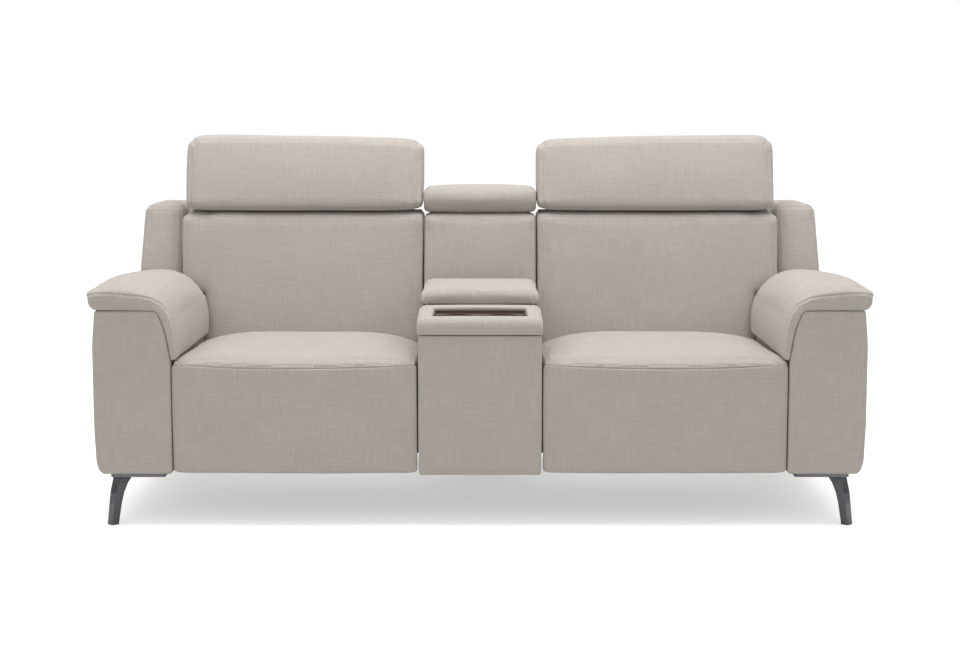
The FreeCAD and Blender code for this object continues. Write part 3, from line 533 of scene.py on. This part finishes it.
# Short raised threads along a line of points and normals.
def stitches(name, hits, body, length=0.0055, gap=0.0024, radius=0.0006, lift=0.0002):
    mesh = bmesh.new()
    walk, at = 0.0, length / 2
    turn = [(math.cos(math.pi * k / 3), math.sin(math.pi * k / 3)) for k in range(6)]
    for (p, n), (q, _) in zip(hits, hits[1:]):
        span = (q - p).length
        if span > 0.02 or span == 0:
            continue
        while walk + span >= at:
            centre = p.lerp(q, (at - walk) / span) + n * lift
            along = (q - p).normalized()
            side = along.cross(n).normalized()
            up = side.cross(along)
            rows = []
            for t, r in ((-0.5, 0.35), (-0.38, 1.0), (0.38, 1.0), (0.5, 0.35)):
                mid = centre + along * (t * length)
                rows.append([mesh.verts.new(mid + side * (c * r * radius) + up * (s * r * radius))
                             for c, s in turn])
            for a, b in zip(rows, rows[1:]):
                for k in range(6):
                    mesh.faces.new((a[k], a[(k + 1) % 6], b[(k + 1) % 6], b[k]))
            mesh.faces.new(rows[0][::-1])
            mesh.faces.new(rows[-1])
            at += length + gap
        walk += span
    data = bpy.data.meshes.new(name)
    mesh.to_mesh(data)
    mesh.free()
    data.materials.append(thread)
    for face in data.polygons:
        face.use_smooth = True
    obj = meshObject(name, data)
    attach(obj, body)
    return obj


# Gives a finished pad its cloth, smooth shading and its body.
def dressed(obj, body):
    obj.data.materials.clear()
    obj.data.materials.append(fabric)
    for face in obj.data.polygons:
        face.use_smooth = True
    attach(obj, body)
    return obj


# A rounded frame just inside a pad's front outline.
def borderPath(low, high, inset, radius, y):
    x0, x1 = sorted((low[0], high[0]))
    x0, x1, z0, z1 = x0 + inset, x1 - inset, low[2] + inset, high[2] - inset
    points = []
    for cx, cz, start in ((x1 - radius, z1 - radius, 0), (x0 + radius, z1 - radius, 90),
                          (x0 + radius, z0 + radius, 180), (x1 - radius, z0 + radius, 270)):
        for k in range(7):
            a = math.radians(start + k * 15)
            points.append((cx + radius * math.cos(a), y, cz + radius * math.sin(a)))
    return evenly(points + points[:1])


seatSet = {"pressure": 4.0, "cap": 0.006, "fill": 0.0022, "tight": 0.8, "front": 0.479,
           "seam": 0.415, "edgeRise": 0.009, "crown": 0.443, "innerDrop": 0.038,
           "outerDrop": 0.028, "mitre": 1.28, "rake": 0.243, "backFoot": 0.085,
           "footHeight": 0.417, "footGap": 0.008, "topStitch": 0.0085, "lipLow": 0.006,
           "lipHigh": 0.017, "lipDeep": 0.044, "lipForward": 0.009, "lipBulge": 0.62,
           "rearBelow": 0.03, "rearGap": 0.012, "rearIn": 0.026, "rearDrop": 0.004,
           "rearEase": 0.004, "rearFall": 0.034, "rearOut": 0.008, "rearBend": 0.014,
           "swellLow": 0.001, "swell": 0.005, "columns": 96, "ring": 190, "bunch": 0.35,
           "topSteps": 40, "stitchSteps": 30, "stitchSpan": 0.985, "stitchLow": 0.35,
           "stitchOut": 0.004, "sew": (0.0024, 0.0014, 0.0008),
           "thread": (0.006, 0.002, 0.0009), "wave": (0.14, 0.0016), "seed": 3.0}


# Where the seat's front seam lies: forward place and height.
def seatEdge(away):
    lift = seatSet["edgeRise"] * away ** 2
    return -seatSet["front"] + lift, seatSet["seam"] + lift


# Height of the crown over a column, and of the front lip over its seam.
def seatLip(part, away):
    drop = seatSet["innerDrop"] if part < 0.5 else seatSet["outerDrop"]
    crown = seatSet["crown"] - drop * away ** 4
    return crown, min(max(crown - seatEdge(away)[1], seatSet["lipLow"]), seatSet["lipHigh"])


# Even columns across the seat, closer together at both ends.
def seatColumn(k, low, high, steps):
    part = (1 - math.cos(math.pi * k / steps)) / 2
    part = seatSet["bunch"] * part + (1 - seatSet["bunch"]) * k / steps
    return part, low + (high - low) * part, abs(2 * part - 1)


# Forward place of the raked back cushion's front at a height.
def backLine(z):
    return seatSet["backFoot"] + seatSet["rake"] * (z - seatSet["footHeight"])


# The seat cushion's skin, column by column, mirrored by the side's sign.
def seatSkin(sign):
    v = seatSet
    low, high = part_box("seat_cushion_right")
    foot, rings = low[2], []
    for k in range(v["columns"] + 1):
        part, x, away = seatColumn(k, low[0], high[0], v["columns"])
        front, seam = seatEdge(away)
        crown, lip = seatLip(part, away)
        rear = backLine(crown - v["rearBelow"]) - v["rearGap"]
        a = Vector((x, front + (seam - foot) / v["mitre"], foot))
        b = Vector((x, front, seam))
        c = Vector((x, front + v["lipDeep"], seam + lip))
        d = Vector((x, rear - v["rearIn"], crown - v["rearDrop"]))
        e = Vector((x, rear - v["rearEase"], crown - v["rearFall"]))
        f = Vector((x, backLine(foot) - v["footGap"], foot))
        nose = Vector((x, front + v["lipForward"], seam + (c.z - seam) * v["lipBulge"]))
        over = Vector((x, (c.y + d.y) / 2,
                       (c.z + d.z) / 2 + v["swellLow"] + v["swell"] * (1 - away ** 6)))
        tail = Vector((x, rear - v["rearOut"], crown - v["rearBend"]))
        line = [a] + bend(b, nose, c) + bend(c, over, d, v["topSteps"])[1:]
        line += bend(d, tail, e)[1:] + [f]
        rings.append([Vector((sign * p.x, p.y, p.z)) for p in ringOf(line, v["ring"])])
    return lofted(rings)


def makeSeat(side, sign):
    v, node, body = seatSet, "seat_cushion_" + side, "seat_" + side
    low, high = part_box(node)
    obj = softPiece("seatCushion" + side.capitalize(), node, v, seatSkin(sign))
    middle, half = (low[0] + high[0]) / 2, (high[0] - low[0]) / 2
    points = []
    for k in range(2 * v["stitchSteps"] + 1):
        u = (k / v["stitchSteps"] - 1) * v["stitchSpan"]
        front, seam = seatEdge(abs(u))
        rise = seatLip(0.0 if u < 0 else 1.0, abs(u))[1] / v["lipHigh"]
        points.append((sign * abs(middle) + u * sign * half, front - v["stitchOut"],
                       seam + v["topStitch"] * (v["stitchLow"] + (1 - v["stitchLow"]) * rise)))
    points = evenly(points)
    groove(obj, nearSurface(obj, points), *v["sew"])
    ripple(obj, *v["wave"], v["seed"] + sign)
    dressed(obj, body)
    stitches("seatStitch" + side.capitalize(), nearSurface(obj, points), body, *v["thread"])


footrestSet = {"fill": 0.0016, "tight": 0.8, "gap": 0.0011, "columns": 104, "ring": 150,
               "curl": 0.003, "lowRound": 0.008, "lowIn": 0.0006, "lowBend": 0.0026,
               "topIn": 0.0002, "topLow": 0.0052, "lipIn": 0.0024, "lipBend": 0.0006,
               "lipLow": 0.0031, "bow": 0.001, "faceSteps": 30, "lipSteps": 4,
               "wave": (0.18, 0.0012), "seed": 7.0}


# The footrest pad's skin: a flat front that closes under the seat's mitred lip.
def footrestSkin(sign):
    v, mitre = footrestSet, seatSet["mitre"]
    low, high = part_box("footrest_pad_right")
    rear, rings = high[1], []
    for k in range(v["columns"] + 1):
        _, x, away = seatColumn(k, low[0], high[0], v["columns"])
        front, seam = seatEdge(away)
        plane = seam - v["gap"]
        curl = v["curl"] * away ** 30
        front, base = front + curl, low[2] + curl
        a, b = Vector((x, rear, base)), Vector((x, front + v["lowRound"], base))
        c = Vector((x, front + v["lowIn"], base + v["lowRound"]))
        d = Vector((x, front + v["topIn"], plane - v["topLow"]))
        e = Vector((x, front + v["lipIn"], plane - mitre * v["lipIn"]))
        f = Vector((x, rear, plane - mitre * (rear - front)))
        heel = Vector((x, front + v["lowBend"], base + v["lowBend"]))
        face = Vector((x, front - v["bow"], (c.z + d.z) / 2))
        lip = Vector((x, front + v["lipBend"], plane - v["lipLow"]))
        line = [a] + bend(b, heel, c) + bend(c, face, d, v["faceSteps"])[1:]
        line += bend(d, lip, e, v["lipSteps"])[1:] + [f]
        rings.append([Vector((sign * p.x, p.y, p.z)) for p in ringOf(line, v["ring"])])
    return lofted(rings)


def makeFootrest(side, sign):
    v = footrestSet
    obj = softPiece("footrestPad" + side.capitalize(), "footrest_pad_" + side, v,
                    footrestSkin(sign))
    ripple(obj, *v["wave"], v["seed"] + sign)
    dressed(obj, "footrest_" + side)


backSet = {"voxel": 0.0065, "ease": 4, "crisp": 0.6, "pressure": 4.0, "cap": 0.003, "settle": 3,
           "fill": 0.002, "tight": 0.75, "border": 0.012, "borderCorner": 0.014,
           "corner": 0.02, "edge": 0.008, "rise": 0.005, "riseFrom": 0.06, "riseTo": 0.005,
           "sew": (0.003, 0.0014, 0.0005), "wave": (0.2, 0.002), "seed": 11.0}


def makeBack(side, sign):
    v, node, body = backSet, "back_cushion_" + side, "back_" + side
    low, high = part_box(node)
    obj = softPiece("backCushion" + side.capitalize(), node, v)
    roundCorners(obj, node, [(sign, 1)], v["corner"], v["edge"])
    lifted(obj, high[2] - v["riseFrom"], high[2] - v["riseTo"], v["rise"])
    path = borderPath(low, high, v["border"], v["borderCorner"], low[1])
    groove(obj, onSurface(obj, path, (0, 1, 0)), *v["sew"])
    ripple(obj, *v["wave"], v["seed"] + sign)
    dressed(obj, body)
    shell = softPiece("backShell" + side.capitalize(), "back_shell_" + side, shellSet)
    dressed(shell, body)


shellSet = {"voxel": 0.007, "ease": 3, "crisp": 0.5, "fill": 0.0, "tight": 0.7}

headSet = {"voxel": 0.0055, "ease": 2, "crisp": 0.85, "pressure": 4.0, "cap": 0.002, "settle": 2,
           "fill": 0.002, "tight": 0.8, "border": 0.013, "borderCorner": 0.026,
           "corner": 0.03, "edge": 0.012, "rise": 0.005, "riseFrom": 0.06, "riseTo": 0.005,
           "sew": (0.003, 0.0014, 0.0005), "wave": (0.2, 0.0016), "seed": 17.0}


def makeHeadrest(side, sign):
    v, node, body = headSet, "headrest_pad_" + side, "headrest_" + side
    low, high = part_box(node)
    obj = softPiece("headrestPad" + side.capitalize(), node, v)
    roundCorners(obj, node, topCorners, v["corner"], v["edge"])
    lifted(obj, low[2] + v["riseFrom"], low[2] + v["riseTo"], v["rise"])
    path = borderPath(low, high, v["border"], v["borderCorner"], low[1])
    groove(obj, onSurface(obj, path, (0, 1, 0)), *v["sew"])
    ripple(obj, *v["wave"], v["seed"] + sign)
    dressed(obj, body)


wingSet = {"voxel": 0.006, "ease": 2, "crisp": 0.7, "pressure": 3.0, "cap": 0.002,
           "fill": 0.001, "tight": 0.8, "border": 0.009, "borderCorner": 0.01,
           "sew": (0.0028, 0.0014, 0.0005)}
coverSet = {"voxel": 0.006, "ease": 2, "crisp": 0.7, "fill": 0.001, "tight": 0.9}
padSet = {"voxel": 0.005, "ease": 2, "crisp": 0.6, "pressure": 3.0, "cap": 0.0025,
          "fill": 0.0016, "tight": 0.75, "welt": 0.604, "weltOut": 0.009, "weltHigh": 0.008,
          "weltFrom": 0.965, "weltFade": 0.02, "tipFrom": 0.485, "tipDrop": 0.009,
          "tipFade": 0.045, "twin": 0.005, "seamIn": 0.004, "sew": (0.0024, 0.002, 0.001),
          "thread": (0.006, 0.002, 0.0007), "wave": (0.12, 0.001), "seed": 23.0,
          "seam": ((1.000, 0.601), (0.953, 0.603), (0.909, 0.600), (0.865, 0.596),
                   (0.833, 0.590), (0.809, 0.581), (0.796, 0.572), (0.788, 0.556),
                   (0.783, 0.532), (0.779, 0.501), (0.777, 0.470), (0.776, 0.458))}


# Squares the outer edge up to its seam and lowers the inner lip towards the seat.
def shapePad(pad, sign):
    co = read(pad.data)
    out = np.clip((sign * co[:, 0] - padSet["weltFrom"]) / padSet["weltFade"], 0, 1)
    bulge = np.exp(-((co[:, 2] - padSet["welt"]) / padSet["weltHigh"]) ** 2)
    co[:, 0] += sign * padSet["weltOut"] * out * bulge
    lip = np.clip((padSet["tipFrom"] - co[:, 2]) / padSet["tipFade"], 0, 1)
    co[:, 2] -= padSet["tipDrop"] * lip ** 2 * (3 - 2 * lip)
    moved(pad, co)


def makeArm(side, sign):
    cover = softPiece("armCover" + side.capitalize(), "arm_cover_" + side, coverSet)
    dressed(cover, "base")
    pad = softPiece("armPad" + side.capitalize(), "arm_pad_" + side, padSet)
    shapePad(pad, sign)
    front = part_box("arm_pad_" + side)[0][1]
    points = evenly([(sign * x, front + padSet["seamIn"], z) for x, z in padSet["seam"]])
    groove(pad, nearSurface(pad, points), *padSet["sew"])
    ripple(pad, *padSet["wave"], padSet["seed"] + sign)
    dressed(pad, "base")
    beside = []
    for a, b in zip(points, points[1:]):
        way = (b - a).normalized()
        beside.append(a + Vector((way.z, 0, -way.x)) * (-sign * padSet["twin"]))
    stitches("padStitch" + side.capitalize(), nearSurface(pad, beside), "base",
             *padSet["thread"])
    wing = softPiece("wing" + side.capitalize(), "wing_" + side, wingSet)
    low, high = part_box("wing_" + side)
    path = borderPath(low, high, wingSet["border"], wingSet["borderCorner"], low[1])
    groove(wing, onSurface(wing, path, (0, 1, 0)), *wingSet["sew"])
    dressed(wing, "base")


for side, sign in sides:
    makeSeat(side, sign)
    makeFootrest(side, sign)
    makeBack(side, sign)
    makeHeadrest(side, sign)
    makeArm(side, sign)
print("seats, backs and arms made")

panelSet = {"voxel": 0.005, "ease": 1, "crisp": 0.7, "fill": 0.0008, "tight": 0.9,
            "edge": 0.008, "seamEnd": 0.004, "hemEnd": 0.006, "hemHigh": 0.01,
            "sew": (0.0024, 0.001, 0.0004), "hemSew": (0.0024, 0.0008, 0.0003)}
consolePadSet = {"voxel": 0.004, "ease": 1, "crisp": 0.7, "fill": 0.0012, "tight": 0.8,
                 "corner": 0.01, "edge": 0.007, "seam": 0.012}
lidSet = {"voxel": 0.005, "ease": 2, "crisp": 0.5, "pressure": 3.0, "cap": 0.003,
          "fill": 0.001, "tight": 0.8, "corner": 0.014, "edge": 0.008, "seam": 0.013}
centreSet = {"voxel": 0.006, "ease": 2, "crisp": 0.8, "pressure": 3.0, "cap": 0.002,
             "fill": 0.001, "tight": 0.75}
rollSet = {"voxel": 0.005, "ease": 1, "crisp": 0.9, "pressure": 3.0, "cap": 0.002,
           "fill": 0.001, "tight": 0.8, "corner": 0.016, "edge": 0.008}
linerSet = {"voxel": 0.006, "ease": 1, "crisp": 0.8, "fill": 0.0, "tight": 0.9}


def makeConsole():
    v = panelSet
    panel = softPiece("consoleFrontPanel", "console_front_panel", v)
    low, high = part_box("console_front_panel")
    for x in (low[0] + v["edge"], high[0] - v["edge"]):
        points = evenly([(x, low[1], low[2] + v["seamEnd"]), (x, low[1], high[2] - v["seamEnd"])])
        groove(panel, onSurface(panel, points, (0, 1, 0)), *v["sew"])
    height = low[2] + v["hemHigh"]
    hem = evenly([(low[0] + v["hemEnd"], low[1], height), (high[0] - v["hemEnd"], low[1], height)])
    groove(panel, onSurface(panel, hem, (0, 1, 0)), *v["hemSew"])
    dressed(panel, "base")
    pads = (("consoleFrontPad", "console_front_pad", "base", consolePadSet),
            ("lidPad", "lid_pad", "console_lid", lidSet))
    for name, node, body, values in pads:
        pad = softPiece(name, node, values)
        roundCorners(pad, node, topCorners, values["corner"], values["edge"])
        sideSeams(pad, node, values["seam"])
        dressed(pad, body)
    cover = softPiece("consoleCover", "console_cover", v)
    dressed(cover, "base")


def makeCentreBack():
    pad = softPiece("centreBackPad", "centre_back_pad", centreSet)
    dressed(pad, "base")
    roll = softPiece("centreRoll", "centre_roll", rollSet)
    roundCorners(roll, "centre_roll", topCorners, rollSet["corner"], rollSet["edge"])
    dressed(roll, "base")


def makeSkirt():
    skirt = softPiece("rearSkirt", "rear_skirt", linerSet)
    dressed(skirt, "base")


makeConsole()
makeCentreBack()
makeSkirt()
print("console and centre made")


# Carried solids
coats = {"legs": legMetal, "leg_screws": zincSteel, "base_frame": blackSteel,
         "cup_tray": trayPlastic, "switch_panels": blackPlastic, "console_box": plywood,
         "lid_board": plywood, "centre_back_frame": plywood}
for side, _ in sides:
    for part in ("link_rear_upper", "link_rear_lower", "link_cross_down", "link_cross_up",
                 "link_front_lower"):
        coats[part + "_" + side] = zincSteel
    coats["headrest_board_" + side] = fabric
    for part in ("seat_frame", "actuator_slider"):
        coats[part + "_" + side] = blackSteel
    for part in ("arm_frame", "back_frame", "footrest_board"):
        coats[part + "_" + side] = plywood
    coats["actuator_housing_" + side] = blackPlastic
    for part in ("recline_button", "close_button"):
        coats[part + "_" + side] = buttonPlastic
for name, mat in coats.items():
    data = nodes[name].data
    if data.materials:
        for k in range(len(data.materials)):
            data.materials[k] = mat
    else:
        data.materials.append(mat)
print("solids coated")


# Stage, light, camera
cameraSet = {"place": (0.0, -5.03, 1.06), "pitch": 6.90, "lens": 67.35}
cameraData = bpy.data.cameras.new("camera")
cameraData.lens = cameraSet["lens"]
cameraData.sensor_width = 36.0
camera = bpy.data.objects.new("camera", cameraData)
camera.location = cameraSet["place"]
camera.rotation_euler = (math.radians(90 - cameraSet["pitch"]), 0, 0)
bpy.context.scene.collection.objects.link(camera)
bpy.context.scene.camera = camera

floorData = bpy.data.meshes.new("floor")
floorData.from_pydata([(-20, -9, 0), (20, -9, 0), (20, 25, 0), (-20, 25, 0)], [], [(0, 1, 2, 3)])
floor = meshObject("floor", floorData)
floorSet = {"albedo": 0.8, "lift": 0.5}
floorMat, floorTree, floorLinks, floorBsdf = newMaterial("floorPaint")
floorBsdf.inputs["Base Color"].default_value = (*[floorSet["albedo"]] * 3, 1)
floorBsdf.inputs["Roughness"].default_value = 0.9
floorBsdf.inputs["Specular IOR Level"].default_value = 0.0
seenFloor = floorTree.new("ShaderNodeLightPath")
floorBsdf.inputs["Emission Color"].default_value = (1, 1, 1, 1)
floorLinks.new(maths(floorTree, floorLinks, "MULTIPLY", seenFloor.outputs["Is Camera Ray"],
                     floorSet["lift"]), floorBsdf.inputs["Emission Strength"])
floorData.materials.append(floorMat)

lightSet = (
    {"name": "overhead", "place": (0.0, -0.22, 3.3), "size": (4.4, 1.8), "power": 84.0},
    {"name": "frontLeft", "place": (-2.9, -4.6, 2.8), "size": (2.0, 2.0), "power": 17.0},
    {"name": "frontRight", "place": (2.9, -4.6, 2.8), "size": (2.0, 2.0), "power": 13.0},
)
for item in lightSet:
    lightData = bpy.data.lights.new(item["name"], "AREA")
    lightData.shape = "RECTANGLE"
    lightData.size, lightData.size_y = item["size"]
    lightData.energy = item["power"]
    light = bpy.data.objects.new(item["name"], lightData)
    light.location = item["place"]
    aim = Vector((0, 0, 0.5)) - Vector(item["place"])
    light.rotation_euler = aim.to_track_quat("-Z", "Y").to_euler()
    bpy.context.scene.collection.objects.link(light)

world = bpy.data.worlds.new("studio")
bpy.context.scene.world = world
world.use_nodes = True
wTree, wLinks = world.node_tree.nodes, world.node_tree.links
sky = wTree["Background"]
sky.inputs["Color"].default_value = (1, 1, 1, 1)
skySet = {"horizon": 0.28, "zenith": 0.8}
skyPlace = wTree.new("ShaderNodeTexCoord")
skyUp = wTree.new("ShaderNodeSeparateXYZ")
wLinks.new(skyPlace.outputs["Generated"], skyUp.inputs[0])
wLinks.new(spread(wTree, wLinks, skyUp.outputs["Z"], skySet["horizon"], skySet["zenith"], 0.0, 0.7),
           sky.inputs["Strength"])
seen = wTree.new("ShaderNodeBackground")
seen.inputs["Color"].default_value = (1, 1, 1, 1)
seen.inputs["Strength"].default_value = 1.0
path = wTree.new("ShaderNodeLightPath")
mix = wTree.new("ShaderNodeMixShader")
wLinks.new(path.outputs["Is Camera Ray"], mix.inputs["Fac"])
wLinks.new(sky.outputs[0], mix.inputs[1])
wLinks.new(seen.outputs[0], mix.inputs[2])
wLinks.new(mix.outputs[0], wTree["World Output"].inputs["Surface"])
bpy.context.scene.view_settings.view_transform = "Standard"
print("stage set")
